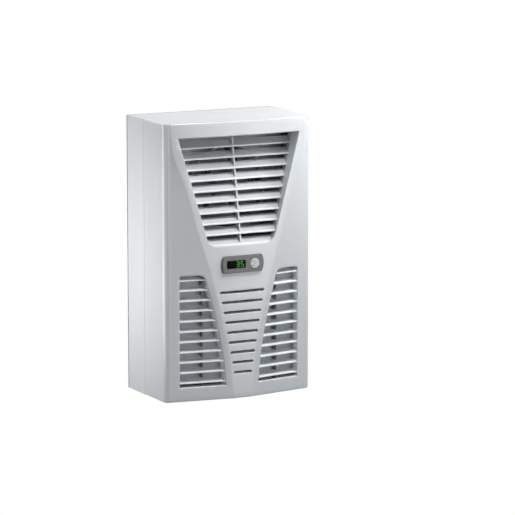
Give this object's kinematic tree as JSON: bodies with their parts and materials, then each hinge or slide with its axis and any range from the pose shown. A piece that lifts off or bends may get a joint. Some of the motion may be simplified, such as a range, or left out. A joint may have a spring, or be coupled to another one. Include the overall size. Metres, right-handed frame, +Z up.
{
  "type": "wall-mounted enclosure cooling unit",
  "caption": "Slim wall-mounted cooling unit for an equipment cabinet, with a bowed louvred hood, a small digital controller and a full refrigeration circuit inside.",
  "frame": {"origin": "middle of the rear mounting face, which lies against the cabinet door or wall", "axes": "+X to the right as seen from the front, +Y out of the back (the front faces -Y), +Z up"},
  "size_m": [0.32, 0.1944, 0.564],
  "materials": {
    "hood": "light grey moulding, satin, fine grain",
    "shell": "light grey powder coat, fine orange peel",
    "zinc_sheet": "zinc-coated sheet with faint spangle",
    "zinc_fastener": "bright zinc plating",
    "fins": "thin mill-finish sheet",
    "copper": "drawn copper, slightly dulled",
    "brass": "turned, clean",
    "bezel": "mid-grey moulding, satin",
    "keys": "light grey caps, satin",
    "window": "dark tinted pane, glossy",
    "digits": "lit green segments",
    "black_plastic": "black moulding, fine grain",
    "white_plastic": "white moulding, satin",
    "board": "green solder mask, slight sheen",
    "board_parts": "dark blue and black mouldings",
    "gasket": "black foam rubber, dull",
    "foam": "dark grey closed-cell foam, dull",
    "motor": "black paint, satin",
    "compressor": "black enamel, semi-gloss",
    "steel": "drawn steel can"
  },
  "bodies": {
    "casing": {"rear_shell": "shell", "rear_gasket": "gasket", "mounting_nuts": "zinc_fastener", "drain_nozzle": "white_plastic", "partition_plate": "zinc_sheet", "partition_screws": "zinc_fastener", "insulation_panel": "foam", "hood": "hood", "hood_screws": "zinc_fastener", "upper_louvres": "hood", "left_louvres": "hood", "right_louvres": "hood", "controller_bezel": "bezel", "controller_case": "black_plastic", "controller_clips": "black_plastic", "display_window": "window", "display_digits": "digits", "condenser_fins": "fins", "condenser_tubes": "copper", "condenser_end_plates": "zinc_sheet", "fan_shroud": "zinc_sheet", "fan_bracket": "motor", "fan_motor": "motor", "compressor_shelf": "zinc_sheet", "compressor": "compressor", "compressor_base": "compressor", "compressor_grommets": "gasket", "compressor_bolts": "zinc_fastener", "terminal_cover": "black_plastic", "service_valve": "brass", "discharge_pipe": "copper", "pressure_switch": "steel", "liquid_pipe": "copper", "filter_drier": "copper", "capillary_tube": "copper", "suction_pipe": "copper", "inlet_ring": "black_plastic", "blower_motor": "motor", "evaporator_fins": "fins", "evaporator_tubes": "copper", "evaporator_end_plates": "zinc_sheet", "condensate_tray": "white_plastic", "electronics_box": "zinc_sheet", "electronics_lid": "shell", "circuit_board": "board", "board_parts": "board_parts", "run_capacitor": "steel", "connector_housing": "black_plastic", "connector_pins": "brass"},
    "condenser_fan": {"fan_rotor": "black_plastic"},
    "blower": {"blower_wheel": "black_plastic"},
    "key_upper_left": {"key_upper_left": "keys"},
    "key_upper_right": {"key_upper_right": "keys"},
    "key_lower_left": {"key_lower_left": "keys"},
    "key_lower_right": {"key_lower_right": "keys"}
  },
  "joints": [
    {"name": "condenser_fan_spin", "type": "hinge", "parent": "casing", "child": "condenser_fan", "pos_m": [0, -0.115, 0.138], "axis": [0, 1, 0], "continuous": true},
    {"name": "blower_spin", "type": "hinge", "parent": "casing", "child": "blower", "pos_m": [0, -0.05, 0.133], "axis": [0, 1, 0], "continuous": true},
    {"name": "key_upper_left_press", "type": "slide", "parent": "casing", "child": "key_upper_left", "axis": [0, 1, 0], "range_m": [0, 0.0008], "stiffness_N_per_m": 300},
    {"name": "key_upper_right_press", "type": "slide", "parent": "casing", "child": "key_upper_right", "axis": [0, 1, 0], "range_m": [0, 0.0008], "stiffness_N_per_m": 300},
    {"name": "key_lower_left_press", "type": "slide", "parent": "casing", "child": "key_lower_left", "axis": [0, 1, 0], "range_m": [0, 0.0008], "stiffness_N_per_m": 300},
    {"name": "key_lower_right_press", "type": "slide", "parent": "casing", "child": "key_lower_right", "axis": [0, 1, 0], "range_m": [0, 0.0008], "stiffness_N_per_m": 300}
  ]
}
